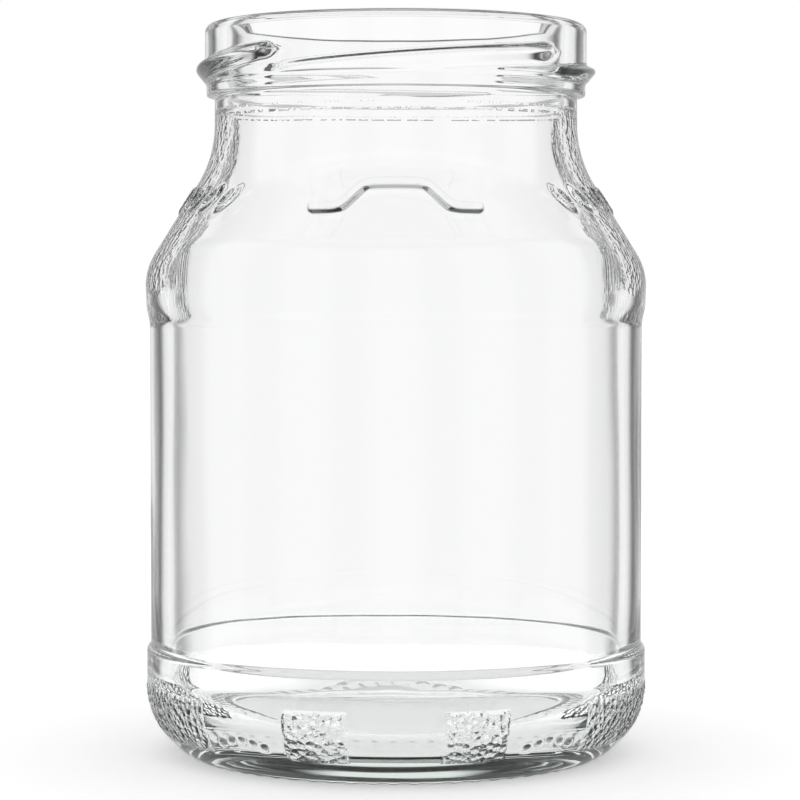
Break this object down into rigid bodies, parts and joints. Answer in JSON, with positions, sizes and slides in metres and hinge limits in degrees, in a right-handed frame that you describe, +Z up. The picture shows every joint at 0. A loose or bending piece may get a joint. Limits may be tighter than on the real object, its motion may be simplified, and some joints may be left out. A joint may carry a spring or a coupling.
{
  "type": "yogurt jar",
  "caption": "Empty returnable yogurt jar of clear glass, with a wide mouth, lugs for a twist-off lid, a coned shoulder, a set-in label panel and a rounded heel.",
  "frame": {"origin": "centre of the ring that the jar stands on, on the surface under it", "axes": "+Z up along the jar's axis, -Y towards the front, where the arched rib is, +X to the right"},
  "size_m": [0.0864, 0.0864, 0.1257],
  "materials": {
    "clear_glass": "clear, smooth blown container glass"
  },
  "bodies": {
    "root": {"jar": "clear_glass"}
  },
  "joints": []
}
